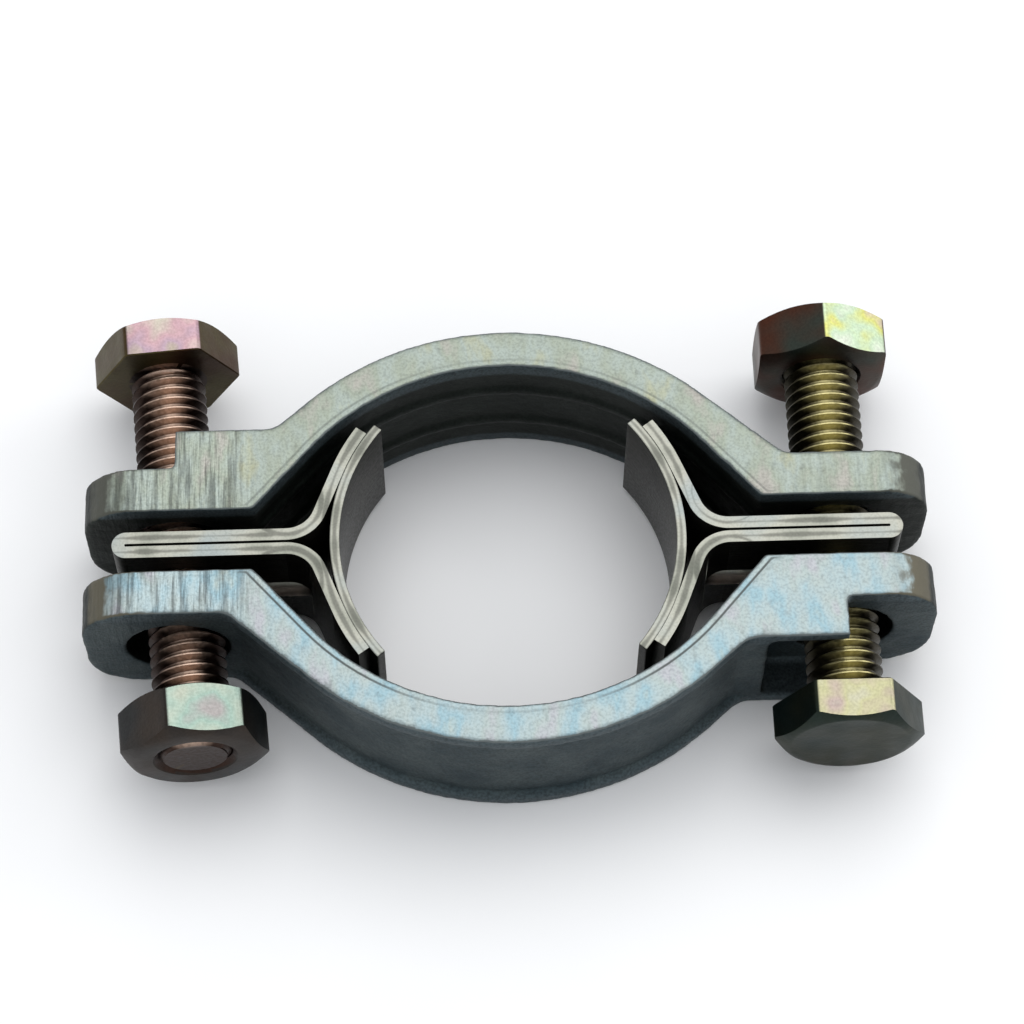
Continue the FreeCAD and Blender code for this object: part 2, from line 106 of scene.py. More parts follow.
# Painted light: pearly plating tints, pale on the facets that face the light.
LIT_PEARL_TINTS = {
    "left_bolt": (
        (0.30, (0.38, 0.35, 0.29)),
        (0.48, (0.40, 0.26, 0.28)),
        (0.62, (0.37, 0.27, 0.32)),
        (0.75, (0.38, 0.33, 0.25)),
    ),
    "right_bolt": (
        (0.30, (0.34, 0.33, 0.27)),
        (0.44, (0.35, 0.34, 0.20)),
        (0.60, (0.35, 0.28, 0.25)),
        (0.75, (0.31, 0.33, 0.27)),
    ),
    "left_nut": (
        (0.30, (0.31, 0.33, 0.27)),
        (0.50, (0.25, 0.34, 0.29)),
        (0.68, (0.31, 0.29, 0.28)),
    ),
    "right_nut": (
        (0.30, (0.50, 0.52, 0.45)),
        (0.48, (0.41, 0.51, 0.36)),
        (0.62, (0.52, 0.52, 0.16)),
        (0.75, (0.50, 0.39, 0.39)),
    ),
}
# Painted shade on the facets that turn away from the light: dark olive, brown and slate tints.
OLIVE = (0.070, 0.058, 0.022)
BROWN = (0.052, 0.026, 0.012)
SLATE = (0.034, 0.042, 0.034)
SHADED_DEEP_TINTS = {
    "left_bolt": ((0.35, OLIVE), (0.65, BROWN)),
    "right_bolt": ((0.35, (0.011, 0.021, 0.018)), (0.65, (0.024, 0.027, 0.015))),
    "left_nut": ((0.35, (0.035, 0.026, 0.020)), (0.65, (0.022, 0.022, 0.022))),
    "right_nut": ((0.35, (0.065, 0.022, 0.012)), (0.65, SLATE)),
}
# A thread's colours: (painted shade on its sides and underside, painted light on its upper side).
THREAD_SHADE_AND_LIGHT_TINTS = {
    "left": ((0.034, 0.019, 0.014), (0.50, 0.36, 0.28)),
    "right": ((0.034, 0.028, 0.014), (0.46, 0.41, 0.20)),
}


# ---------------------------------------------------------------- finishes

class Finish:
    """A procedural material: one Principled shader, and short calls that add nodes in front of it."""

    def __init__(self, name, metallic):
        self.material = bpy.data.materials.new(name)
        self.material.use_nodes = True
        self.tree = self.material.node_tree
        self.shader = self.tree.nodes["Principled BSDF"]
        self.shader.inputs["Metallic"].default_value = metallic
        coordinates = self.tree.nodes.new("ShaderNodeTexCoord")
        self.place = coordinates.outputs["Object"]
        self.normal = coordinates.outputs["Normal"]

    def feed(self, socket, value):
        """Joins a node's output to a socket, or writes a plain value on it."""
        if isinstance(value, bpy.types.NodeSocket):
            self.tree.links.new(value, socket)
        else:
            socket.default_value = value

    def maths(self, operation, *values):
        node = self.tree.nodes.new("ShaderNodeMath")
        node.operation = operation
        for socket, value in zip(node.inputs, values):
            self.feed(socket, value)
        return node.outputs["Value"]

    def part(self, vector, axis):
        """One coordinate, X, Y or Z, of a vector."""
        node = self.tree.nodes.new("ShaderNodeSeparateXYZ")
        self.feed(node.inputs["Vector"], vector)
        return node.outputs[axis]

    def along(self, vector, direction):
        """How far a vector points along a fixed direction."""
        node = self.tree.nodes.new("ShaderNodeVectorMath")
        node.operation = "DOT_PRODUCT"
        self.feed(node.inputs[0], vector)
        node.inputs[1].default_value = direction
        return node.outputs["Value"]

    def rise(self, value, low, high, first=0.0, last=1.0):
        """Goes smoothly from first to last while value goes from low to high."""
        node = self.tree.nodes.new("ShaderNodeMapRange")
        node.interpolation_type = "SMOOTHSTEP"
        for name, number in (("Value", value), ("From Min", low), ("From Max", high),
                             ("To Min", first), ("To Max", last)):
            self.feed(node.inputs[name], number)
        return node.outputs["Result"]

    def cloud(self, size, detail=3.0, stretch=(1.0, 1.0, 1.0)):
        """Noise whose patches are about size metres across, drawn out along an axis by stretch."""
        mapping = self.tree.nodes.new("ShaderNodeMapping")
        mapping.inputs["Scale"].default_value = [1.0 / (size * factor) for factor in stretch]
        self.feed(mapping.inputs["Vector"], self.place)
        node = self.tree.nodes.new("ShaderNodeTexNoise")
        node.inputs["Scale"].default_value = 1.0
        node.inputs["Detail"].default_value = detail
        self.feed(node.inputs["Vector"], mapping.outputs["Vector"])
        return node.outputs["Fac"]

    def ramp(self, factor, stops):
        """A colour ramp through (position, colour) stops."""
        node = self.tree.nodes.new("ShaderNodeValToRGB")
        elements = node.color_ramp.elements
        while len(elements) < len(stops):
            elements.new(0.5)
        for element, (position, colour) in zip(elements, stops):
            element.position = position
            element.color = (*colour, 1.0)
        self.feed(node.inputs["Fac"], factor)
        return node.outputs["Color"]

    def mix(self, factor, first, second, how="MIX"):
        """Mixes two colours; a colour is a node's output or three numbers."""
        node = self.tree.nodes.new("ShaderNodeMix")
        node.data_type = "RGBA"
        node.blend_type = how
        socket = {item.identifier: item for item in node.inputs}
        self.feed(socket["Factor_Float"], factor)
        for name, colour in (("A_Color", first), ("B_Color", second)):
            plain = isinstance(colour, tuple)
            self.feed(socket[name], (*colour, 1.0) if plain else colour)
        return {item.identifier: item for item in node.outputs}["Result_Color"]

    def shade(self, colour, factor):
        """A colour made lighter or darker by a number that varies over the surface."""
        grey = self.tree.nodes.new("ShaderNodeCombineColor")
        for socket in grey.inputs:
            self.feed(socket, factor)
        return self.mix(1.0, colour, grey.outputs["Color"], "MULTIPLY")

    def stored(self, attribute):
        """A number that the mesh stores at each vertex."""
        node = self.tree.nodes.new("ShaderNodeAttribute")
        node.attribute_name = attribute
        return node.outputs["Fac"]

    def bump(self, heights):
        """Fine relief: a list of (height, depth in metres) laid one on another."""
        previous = None
        for height, depth in heights:
            node = self.tree.nodes.new("ShaderNodeBump")
            node.inputs["Distance"].default_value = depth
            self.feed(node.inputs["Height"], height)
            if previous:
                self.feed(node.inputs["Normal"], previous)
            previous = node.outputs["Normal"]
        self.feed(self.shader.inputs["Normal"], previous)

    def finish(self, colour, roughness):
        self.feed(self.shader.inputs["Base Color"], colour)
        self.feed(self.shader.inputs["Roughness"], roughness)
        return self.material


# Where a casting's finish changes, as (where the change begins, where it ends).
# Distances from the pipe axis, along X:
FILED_EARS = (31 * MM, 37 * MM)
EAR_ENDS = (44 * MM, 50 * MM)
LIP_LINE_DEEPENS = (8 * MM, 20 * MM)
LIP_LINE_ENDS = (36 * MM, 33 * MM)
# X itself, from the left ears to the right ones:
LEFT_TO_RIGHT_EARS = (-36 * MM, 40 * MM)
# Distances from the middle of the width, along Z:
RIM_LEVEL = (8.0 * MM, 8.8 * MM)
GROUND_LEVEL = (5.5 * MM, 7.5 * MM)

# Within this distance of the middle of the width, top and bottom faces blend into each other.
FACE_BLEND = 1 * MM

# How strongly each casting shows the painted shade line beside its bore's lip, and file marks on its right
# ear.
LIP_LINE_STRENGTH = {"front_half": 1.0, "back_half": 0.45}
RIGHT_EAR_MARKS = {"front_half": 0.05, "back_half": 0.25}

# The valley beside the bore's edge, which leaves a lip.
BORE_DISTANCE = "bore_distance"
LIP_WIDTH = 0.70 * MM
VALLEY_DEPTH = 0.12 * MM
VALLEY_HALF_WIDTH = 0.3 * MM
LIP_LINE_HALF_WIDTH = (0.24 * MM, 0.06 * MM)


def facing_out(finish):
    """1 on a part's top and bottom faces, falling to 0 on its side walls and inside its recesses; the
    finishes paint shade where it is low.
    """
    side = finish.maths("DIVIDE", finish.part(finish.place, "Z"), FACE_BLEND)
    side = finish.maths("MINIMUM", finish.maths("MAXIMUM", side, -1.0), 1.0)
    return finish.maths("MULTIPLY", side, finish.part(finish.normal, "Z"))


def lip_line(finish, half, across):
    """How dark the painted shade in the thin valley beside the bore's edge is. It is faint at the middle of
    the arc.
    """
    off_line = finish.maths("ABSOLUTE", finish.maths("SUBTRACT", finish.stored(BORE_DISTANCE), LIP_WIDTH))
    line = finish.rise(off_line, *LIP_LINE_HALF_WIDTH, 0.0, 0.9)
    strength = finish.rise(across, *LIP_LINE_DEEPENS, 0.25, LIP_LINE_STRENGTH[half])
    line = finish.maths("MULTIPLY", line, strength)
    return finish.maths("MULTIPLY", line, finish.rise(across, *LIP_LINE_ENDS))


def casting_finish(half):
    """Bright ground faces with faint plating colours, over an as-cast skin painted dark as shade and dark
    reflection; file marks on the ears.
    """
    finish = Finish("cast_zinc_" + half, metallic=0.75)
    along_ear = finish.part(finish.place, "X")
    across = finish.maths("ABSOLUTE", along_ear)
    level = finish.maths("ABSOLUTE", finish.part(finish.place, "Z"))

    patches = finish.cloud(5 * MM, detail=4.0, stretch=(0.7, 1.6, 1.0))
    grain = finish.cloud(0.35 * MM, detail=4.0)
    mottle = finish.cloud(1.5 * MM, detail=3.0, stretch=(1.0, 1.6, 1.0))
    marks = finish.cloud(0.50 * MM, detail=3.0, stretch=(1.0, 14.0, 6.0))
    stains = finish.cloud(6 * MM)

    # The ground faces: tinted, speckled, filed on the ears, with a line of painted shade beside the bore's
    # lip.
    filed = finish.maths(
        "MULTIPLY",
        finish.rise(across, *FILED_EARS),
        finish.rise(along_ear, *LEFT_TO_RIGHT_EARS, 1.0, RIGHT_EAR_MARKS[half]),
    )
    bright = finish.ramp(patches, HALF_TINTS[half])
    bright = finish.shade(bright, finish.rise(grain, 0.30, 0.62, 0.84, 1.06))
    bright = finish.shade(bright, finish.rise(mottle, 0.22, 0.40, 0.74, 1.0))
    scratched = finish.shade(bright, finish.rise(marks, 0.34, 0.60, 0.50, 1.12))
    bright = finish.mix(filed, bright, scratched)
    bright = finish.mix(lip_line(finish, half, across), bright, LIP_LINE_SHADE_TINT)

    # The as-cast skin, painted dark as shade and dark reflection: near black in the bore, bluer on the outer
    # web, with a painted highlight on the web's rims.
    outwards = finish.maths("MULTIPLY", finish.part(finish.normal, "Y"), finish.part(finish.place, "Y"))
    on_web = finish.rise(outwards, 2 * MM, 10 * MM)
    skin = finish.mix(on_web, finish.ramp(stains, BORE_SHADE_TINTS), finish.ramp(stains, WEB_SHADE_TINTS))
    # Painted highlight on the rims.
    skin = finish.mix(finish.rise(level, *RIM_LEVEL, 0.0, 0.8), skin, RIM_HIGHLIGHT_TINT)
    skin = finish.shade(skin, finish.rise(grain, 0.25, 0.7, 0.65, 1.35))

    # From the skin over the rounded edges to the ground faces: the rounded edges get a painted half-shade,
    # darker painted shade on the ear ends.
    turned_out = finish.maths("MULTIPLY", facing_out(finish), finish.rise(level, *GROUND_LEVEL))
    turned_out = finish.maths("ADD", turned_out, finish.rise(mottle, 0.3, 0.7, -0.05, 0.05))
    rounded = finish.mix(finish.rise(across, *EAR_ENDS), ROUNDED_EDGE_HALF_SHADE_TINT, EAR_END_SHADE_TINTS[half])
    colour = finish.mix(finish.rise(turned_out, 0.30, 0.72), skin, rounded)
    ground = finish.rise(turned_out, 0.84, 0.96)
    colour = finish.mix(ground, colour, bright)
    finish.bump((
        (mottle, 0.10 * MM),
        (grain, 0.035 * MM),
        (finish.maths("MULTIPLY", marks, filed), 0.10 * MM),
    ))
    return finish.finish(colour, finish.rise(ground, 0.0, 1.0, 0.56, 0.42))


# The middle lines of the saddles' sheet, and their beads, as in the CAD: the sheet's finish follows them.
SADDLE_CENTRE = -3.1 * MM
LEG_RADIUS = 27.025 * MM
BRIDGE_RADIUS = 25.55 * MM
FOLD_RADIUS = 1.0 * MM
FORK_RADIUS = 4.6 * MM
FORK_START = 28.7 * MM
BEAD_LEVEL = -0.6 * MM
BEAD_RADIUS = 1.3 * MM
FAR_OFF = 10 * MM


def strip_offset(finish):
    """Distance from the middle of the sheet's thickness, to the nearest of a saddle's arcs and layers."""
    outwards = finish.maths("ABSOLUTE", finish.part(finish.place, "X"))
    sideways = finish.maths("ABSOLUTE", finish.part(finish.place, "Y"))
    nearest = finish.maths("ABSOLUTE", finish.maths("SUBTRACT", sideways, FOLD_RADIUS))
    past_layers = finish.rise(outwards, FORK_START, FORK_START - 1 * MM, 0.0, FAR_OFF)
    nearest = finish.maths("ADD", nearest, past_layers)
    arcs = (
        (SADDLE_CENTRE, 0.0, LEG_RADIUS),
        (SADDLE_CENTRE, 0.0, BRIDGE_RADIUS),
        (FORK_START, FOLD_RADIUS + FORK_RADIUS, FORK_RADIUS),
    )
    for centre_out, centre_side, radius in arcs:
        out = finish.maths("POWER", finish.maths("SUBTRACT", outwards, centre_out), 2.0)
        side = finish.maths("POWER", finish.maths("SUBTRACT", sideways, centre_side), 2.0)
        reach = finish.maths("SQRT", finish.maths("ADD", out, side))
        from_arc = finish.maths("ABSOLUTE", finish.maths("SUBTRACT", reach, radius))
        nearest = finish.maths("MINIMUM", nearest, from_arc)
    return nearest


def bead_highlight_band(finish):
    """1 in the band painted bright as a highlight, at the level of the stiffening beads. The band
    starts where the legs fork and runs on past the beads' outer ends, right round the fold."""
    above = finish.maths("ABSOLUTE", finish.maths("SUBTRACT", finish.part(finish.place, "Z"), BEAD_LEVEL))
    outwards = finish.maths("ABSOLUTE", finish.part(finish.place, "X"))
    band = finish.rise(above, BEAD_RADIUS, 0.7 * BEAD_RADIUS)
    return finish.maths("MULTIPLY", band, finish.rise(outwards, FORK_START - 3 * MM, FORK_START - 1 * MM))


def sheet_finish():
    """Zinc-plated sheet: pale sheared edges with a darker middle, and rolled faces painted dark as shade and
    dark reflection, with faint lines and a painted highlight on the beads.
    """
    finish = Finish("sheet_zinc", metallic=0.85)
    patches = finish.cloud(7 * MM, detail=2.0)
    grain = finish.cloud(0.35 * MM, detail=3.0)
    lines = finish.cloud(0.30 * MM, detail=2.0, stretch=(9.0, 9.0, 1.0))
    edge = finish.ramp(patches, SHEARED_TINTS)
    edge = finish.shade(edge, finish.rise(grain, 0.3, 0.65, 0.80, 1.06))
    wander = finish.rise(patches, 0.3, 0.7, -0.20 * MM, 0.20 * MM)
    from_middle = finish.maths("ADD", strip_offset(finish), wander)
    edge = finish.shade(edge, finish.rise(from_middle, 0.05 * MM, 0.42 * MM, 0.50, 1.0))
    # Rolled faces painted dark as shade and dark reflection.
    face = finish.ramp(patches, ROLLED_SHADE_TINTS)
    face = finish.shade(face, finish.rise(lines, 0.3, 0.7, 0.7, 1.25))
    # Painted highlight on the beads.
    face = finish.mix(bead_highlight_band(finish), face, BEAD_HIGHLIGHT_TINT)
    sheared = finish.rise(facing_out(finish), 0.35, 0.90)
    finish.bump(((lines, 0.03 * MM), (grain, 0.02 * MM)))
    return finish.finish(finish.mix(sheared, face, edge), finish.rise(grain, 0.2, 0.8, 0.34, 0.50))


# The direction of the painted light on heads and nuts: facets that face it are painted pale and pearly, the
# rest dark as shade.
PAINTED_LIGHT_SIDE = (0.30, 0.0, 0.95)


def hexagon_finish(piece):
    """Yellow-chromate plating on a head or nut, with painted light and shade: pale, pearly upper facets
    painted as lit, and deep olive-brown sides painted as shade.
    """
    finish = Finish("yellow_zinc_" + piece, metallic=0.9)
    patches = finish.cloud(4.5 * MM, detail=1.5)
    grain = finish.cloud(0.35 * MM, detail=3.0)
    pale = finish.ramp(patches, LIT_PEARL_TINTS[piece])
    deep = finish.ramp(finish.cloud(8 * MM, detail=2.0), SHADED_DEEP_TINTS[piece])
    # Painted light on the facets that face the light's direction, painted shade on the rest.
    painted_light_mask = finish.rise(finish.along(finish.normal, PAINTED_LIGHT_SIDE), 0.78, 0.92)
    colour = finish.mix(painted_light_mask, deep, pale)
    colour = finish.shade(colour, finish.rise(grain, 0.3, 0.7, 0.88, 1.08))
    finish.bump(((grain, 0.015 * MM), (finish.cloud(2.5 * MM), 0.06 * MM)))
    return finish.finish(colour, finish.rise(patches, 0.3, 0.7, 0.36, 0.46))


def thread_finish(side):
    """The same plating on a thread, where it lies thicker and warmer, with painted light on its upper side
    and painted shade below.
    """
    finish = Finish("yellow_zinc_thread_" + side, metallic=0.9)
    shaded_sides, lit_upper_side = THREAD_SHADE_AND_LIGHT_TINTS[side]
    grain = finish.cloud(0.5 * MM, detail=3.0)
    # Painted light on the thread's upper side, painted shade below it.
    painted_light_mask = finish.rise(finish.part(finish.place, "Z"), 0.66 * THREAD_CREST, 0.97 * THREAD_CREST)
    colour = finish.mix(painted_light_mask, shaded_sides, lit_upper_side)
    colour = finish.shade(colour, finish.rise(grain, 0.3, 0.7, 0.75, 1.15))
    finish.bump(((grain, 0.03 * MM),))
    return finish.finish(colour, finish.rise(grain, 0.3, 0.7, 0.28, 0.42))


# ---------------------------------------------------------------- castings and saddles

SKIN_CELL = 0.36 * MM
SKIN_SOFTENING = 3
EAR_END_RADIUS = 7.2 * MM
EDGE_ROUND = 0.5 * MM
BORE_STEP = 0.1 * MM
WELD_DISTANCE = 0.001 * MM

# Wear on the castings: (depth, size of its patches).
LUMPS = ((0.16 * MM, 3.2 * MM), (0.09 * MM, 1.1 * MM))
WAVES = (0.05 * MM, 7 * MM)
PITS = (1.1 * MM, 1.7 * MM)
PIT_LEVEL = 0.80
PIT_SHIFT = Vector((1, 2, 3))
NIBBLES = (0.5 * MM, 0.9 * MM)

SHEET_EDGE_ROUND = 0.16 * MM
SHEET_EDGE_ANGLE = math.radians(40)


def fine_copy(node_name):
    """A closed, finely meshed copy of a CAD node."""
    piece = bpy.data.objects.new(node_name + "_skin", frame["nodes"][node_name].data.copy())
    bpy.context.scene.collection.objects.link(piece)

    remesh = piece.modifiers.new("cells", "REMESH")
    remesh.mode = "VOXEL"
    remesh.voxel_size = SKIN_CELL
    soften = piece.modifiers.new("soften", "SMOOTH")
    soften.factor = 0.5
    soften.iterations = SKIN_SOFTENING
    bpy.context.view_layer.update()
    mesh = bpy.data.meshes.new_from_object(piece.evaluated_get(bpy.context.evaluated_depsgraph_get()))
    piece.modifiers.clear()
    piece.data = mesh
    return piece


def skin_of(mesh):
    """Each vertex's (point, normal), read before any vertex moves, because a move remakes the normals."""
    return [(vertex.co.copy(), vertex.normal.copy()) for vertex in mesh.vertices]


def rough(point, size):
    """Noise from 0 to 1, with patches about size metres across."""
    return 0.5 + 0.5 * noise.noise(point / size)


def arc_error(point, normal):
    """How deep a point on an ear's rounded end is off the true arc; the frame's mesh has flats there."""
    beyond = abs(point.x) - (cad_box[1].x - EAR_END_RADIUS)
    above = abs(point.z) - (cad_box[1].z - EAR_END_RADIUS)
    reach = math.hypot(beyond, above)
    if beyond < 0 or above < 0 or reach < EAR_END_RADIUS - 2 * EDGE_ROUND:
        return 0.0
    sideways = math.hypot(normal.x, normal.z)
    true_reach = EAR_END_RADIUS - EDGE_ROUND * (1 - sideways)
    return (reach - true_reach) * sideways


def casting_wear(point, normal):
    """Lumpy sand-cast walls; flatter ground faces with a few pits; a nibbled edge between them."""
    faces_out = abs(normal.z)
    lumps = sum(depth * rough(point, size) for depth, size in LUMPS)
    waves = WAVES[0] * rough(point, WAVES[1])
    pits = PITS[0] * max(0.0, rough(point + PIT_SHIFT, PITS[1]) - PIT_LEVEL)
    nibbles = NIBBLES[0] * faces_out * (1 - faces_out) * rough(point, NIBBLES[1])
    return (1 - faces_out) * lumps + faces_out * (waves + pits) + nibbles + arc_error(point, normal)


def is_bore_edge(edge):
    """Tells whether a casting's edge lies between a ground face and the round that leads into the bore."""
    flat = [face for face in edge.link_faces if abs(face.normal.z) > 0.999]
    rounded = [face for face in edge.link_faces if face not in flat]
    middle = (edge.verts[0].co + edge.verts[1].co) / 2
    inwards = rounded and rounded[0].normal.xy.dot(middle.xy) < 0
    return len(flat) == 1 and inwards and abs(middle.z) > 10 * MM


def bore_edge(node_name):
    """Points close together along the bore's edge on both ground faces, in a search tree."""
    builder = bmesh.new()
    builder.from_mesh(frame["nodes"][node_name].data)
    bmesh.ops.remove_doubles(builder, verts=builder.verts, dist=WELD_DISTANCE)
    points = []
    for edge in filter(is_bore_edge, builder.edges):
        start, end = edge.verts[0].co, edge.verts[1].co
        steps = max(2, math.ceil(edge.calc_length() / BORE_STEP))
        points += [start.lerp(end, step / steps) for step in range(steps)]
    builder.free()
    tree = KDTree(len(points))
    for number, point in enumerate(points):
        tree.insert(point, number)
    tree.balance()
    return tree


def raise_bore_lip(piece, node_name):
    """Presses a shallow valley beside the bore's edge, which leaves a lip. Each vertex's distance from
    that edge is stored, and the finish paints shade into the valley by it."""
    tree = bore_edge(node_name)
    skin = skin_of(piece.data)
    distances = [tree.find(point)[2] for point, normal in skin]
    for vertex, (point, normal), distance in zip(piece.data.vertices, skin, distances):
        valley = VALLEY_DEPTH * math.exp(-((distance - LIP_WIDTH) / VALLEY_HALF_WIDTH) ** 2)
        vertex.co = point - normal * valley * abs(normal.z)
    stored = piece.data.attributes.new(BORE_DISTANCE, "FLOAT", "POINT")
    stored.data.foreach_set("value", distances)


def add_casting(node_name):
    """A casting with a worn skin, pressed inwards only, so that it stays inside its CAD solid."""
    piece = fine_copy(node_name)
    for vertex, (point, normal) in zip(piece.data.vertices, skin_of(piece.data)):
        vertex.co = point - normal * casting_wear(point, normal)
    piece.data.shade_smooth()
    raise_bore_lip(piece, node_name)
    piece.data.materials.clear()
    piece.data.materials.append(casting_finish(node_name))
    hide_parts(node_name)
    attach(piece, node_name)


def finish_saddle(side, finish):
    """Keeps the CAD strap and bridge, and takes the sharpness off their sheared edges."""
    for part in ("strap", "bridge"):
        node = frame["nodes"][f"{side}_saddle_{part}"]
        join = node.modifiers.new("join", "WELD")
        join.merge_threshold = WELD_DISTANCE
        edges = node.modifiers.new("edges", "BEVEL")
        edges.width = SHEET_EDGE_ROUND
        edges.segments = 2
        edges.angle_limit = SHEET_EDGE_ANGLE
        node.data.materials.clear()
        node.data.materials.append(finish)


# ---------------------------------------------------------------- bolts and nuts

THREAD_PITCH = 1.5 * MM
THREAD_CREST = 4.98 * MM
THREAD_DEPTH = 0.90 * MM
THREAD_CLEARANCE = 0.05 * MM
# One pitch of the thread, as (share of the pitch, share of the depth) from one crest to the next.
THREAD_FORM = (
    (0.0, 1.0),
    (0.06, 1.0),
    (0.22, 0.50),
    (0.38, 0.05),
    (0.50, 0.0),
    (0.62, 0.05),
    (0.78, 0.50),
    (0.94, 1.0),
)
BOLT_TIP_BEVEL = 0.9 * MM
BOLT_TIP_FLAT = 2.4 * MM
NUT_MOUTH_BEVEL = 0.5 * MM
# Just outside the thread: where a head's underside starts, and beyond which only the hexagon is.
UNDER_HEAD = THREAD_CREST + 0.3 * MM
BEYOND_SHANK = THREAD_CREST + 0.5 * MM

HEX_CORNER_ROUND = 0.9 * MM
HEX_EDGE_ROUND = 0.15 * MM
HEX_CHAMFER = math.tan(math.radians(30))
HEX_SEAT = 0.96             # the head's flat seat, as a share of half its width across the flats
HEX_FACE = 0.93             # the circle on an end face where the chamfer starts, in the same share
HEX_FACE_ROW = 0.4 * MM
HALF_SIDE = math.pi / 6
FLAT_COLUMNS = 9
CORNER_COLUMNS = 3
FULL_TURN = 2 * math.pi

WELD_ROWS = 0.0005 * MM
SHARP_ANGLE = math.radians(34)


class Axis:
    """A bolt's axis, and the sizes of a CAD node measured round it."""

    def __init__(self, joint):
        self.origin = Vector(joint["pos_m"])
        self.line = Vector(joint["axis"]).normalized()
        self.across = Vector((0, 0, 1)).cross(self.line).normalized()
        self.matrix = Matrix((self.across, self.line.cross(self.across), self.line)).transposed()

    def measure(self, node_name):
        """(height, distance from the axis, angle round it) of each of a node's vertices."""
        points = np.array([self.matrix.transposed() @ (vertex.co - self.origin)
                           for vertex in frame["nodes"][node_name].data.vertices])
        return points[:, 2], np.hypot(points[:, 0], points[:, 1]), np.arctan2(points[:, 1], points[:, 0])

    def point(self, radius, angle, height):
        from_origin = Vector((radius * math.cos(angle), radius * math.sin(angle), height))
        return self.origin + self.matrix @ from_origin


class Hexagon:
    """The across-corners size, turn and height of a node's hexagon, with slightly rounded corners."""

    def __init__(self, heights, distances, angles):
        corner = distances.max()
        at_corner = distances > corner - 0.02 * MM
        beyond_shank = distances > BEYOND_SHANK
        self.low = heights[beyond_shank].min()
        self.high = heights[beyond_shank].max()
        self.apothem = corner * math.cos(HALF_SIDE)
        self.turn = angles[at_corner][0] + HALF_SIDE
        inner = self.apothem - HEX_CORNER_ROUND
        self.flat_half_angle = math.atan(inner * math.tan(HALF_SIDE) / self.apothem)
        self.corner_centre = inner / math.cos(HALF_SIDE)
        self.face_radius = self.apothem * HEX_FACE

    def angles(self):
        """Angles round the axis: evenly over each flat, and a few round each corner."""
        next_flat = math.pi / 3 - self.flat_half_angle
        flat = np.linspace(-self.flat_half_angle, self.flat_half_angle, FLAT_COLUMNS)
        corner = np.linspace(self.flat_half_angle, next_flat, CORNER_COLUMNS + 2)[1:-1]
        side = np.concatenate((flat, corner))
        turns = np.concatenate([side + self.turn + number * math.pi / 3 for number in range(6)])
        return np.sort(np.mod(turns, FULL_TURN))

    def radius(self, angle):
        """Distance from the axis to the hexagon's outline at an angle."""
        from_flat = abs((angle - self.turn + HALF_SIDE) % (math.pi / 3) - HALF_SIDE)
        if from_flat <= self.flat_half_angle:
            return self.apothem / math.cos(from_flat)
        from_corner = HALF_SIDE - from_flat
        reach = math.sqrt(HEX_CORNER_ROUND ** 2 - (self.corner_centre * math.sin(from_corner)) ** 2)
        return self.corner_centre * math.cos(from_corner) + reach

    def chamfered_side(self, angle, height, inwards):
        """The outline's rows beside one end face: (radius, height) on the face, then on the flat."""
        radius = self.radius(angle)
        drop = (radius - self.face_radius) * HEX_CHAMFER
        return [(self.face_radius, height), (radius, height + inwards * drop)]


def thread_radius(height, angle):
    """A right-hand thread's radius at a height along its axis and an angle round it."""
    shares, depths = zip(*THREAD_FORM)
    share = (height / THREAD_PITCH - angle / FULL_TURN) % 1.0
    depth = np.interp(share, shares + (1.0,), depths + (1.0,))
    return THREAD_CREST - THREAD_DEPTH * (1 - depth)


def thread_rows(low, high):
    """Heights, before they follow the helix round, of every thread row needed between low and high.
    Two spare pitches at each end leave enough rows once the helix has climbed one pitch."""
    turns = range(math.floor(low / THREAD_PITCH) - 2, math.ceil(high / THREAD_PITCH) + 2)
    return [(turn + share) * THREAD_PITCH for turn in turns for share, depth in THREAD_FORM]


def threaded(rows, angle, low, high, bevel, outward):
    """The thread's (radius, height) rows at one angle, ending in a bevel at low and high."""
    points = []
    for row in rows:
        height = min(max(row + angle / FULL_TURN * THREAD_PITCH, low), high)
        radius = thread_radius(height, angle)
        from_end = min(height - low, high - height)
        if outward:
            radius = min(radius, THREAD_CREST - bevel + from_end)
        else:
            radius = max(radius + THREAD_CLEARANCE, THREAD_CREST + bevel - from_end)
        points.append((radius, height))
    return points


def spun(name, axis, angles, profile, first_row, last_row, ring):
    """A skin round an axis. profile(angle) gives its (radius, height) rows; from first_row to last_row
    they follow the thread, so on the way round they meet the rows one pitch on. ring closes the rows
    into a tube; otherwise the first and last rows are on the axis."""
    columns = [profile(angle) for angle in angles]
    count = len(columns[0])
    builder = bmesh.new()
    grid = [
        [builder.verts.new(axis.point(radius, angle, height)) for radius, height in column]
        for angle, column in zip(angles, columns)
    ]

    def met(row):
        """The row of the first column that meets this row of the last one."""
        if first_row <= row <= last_row:
            return min(row + len(THREAD_FORM), last_row)
        return row

    for number, column in enumerate(grid):
        at_seam = number == len(grid) - 1
        following = grid[0] if at_seam else grid[number + 1]
        for row in range(count if ring else count - 1):
            above = (row + 1) % count
            beside, beside_above = (met(row), met(above)) if at_seam else (row, above)
            corners = [column[row], column[above], following[beside_above], following[beside]]
            if len(set(corners)) > 2:
                builder.faces.new(list(dict.fromkeys(corners)))
    bmesh.ops.remove_doubles(builder, verts=builder.verts, dist=WELD_ROWS)
    bmesh.ops.dissolve_degenerate(builder, edges=builder.edges, dist=WELD_ROWS)
    bmesh.ops.recalc_face_normals(builder, faces=builder.faces)

    mesh = bpy.data.meshes.new(name)
    builder.to_mesh(mesh)
    builder.free()
    mesh.shade_smooth()
    mesh.set_sharp_from_angle(angle=SHARP_ANGLE)
    piece = bpy.data.objects.new(name, mesh)
    bpy.context.scene.collection.objects.link(piece)
    return piece


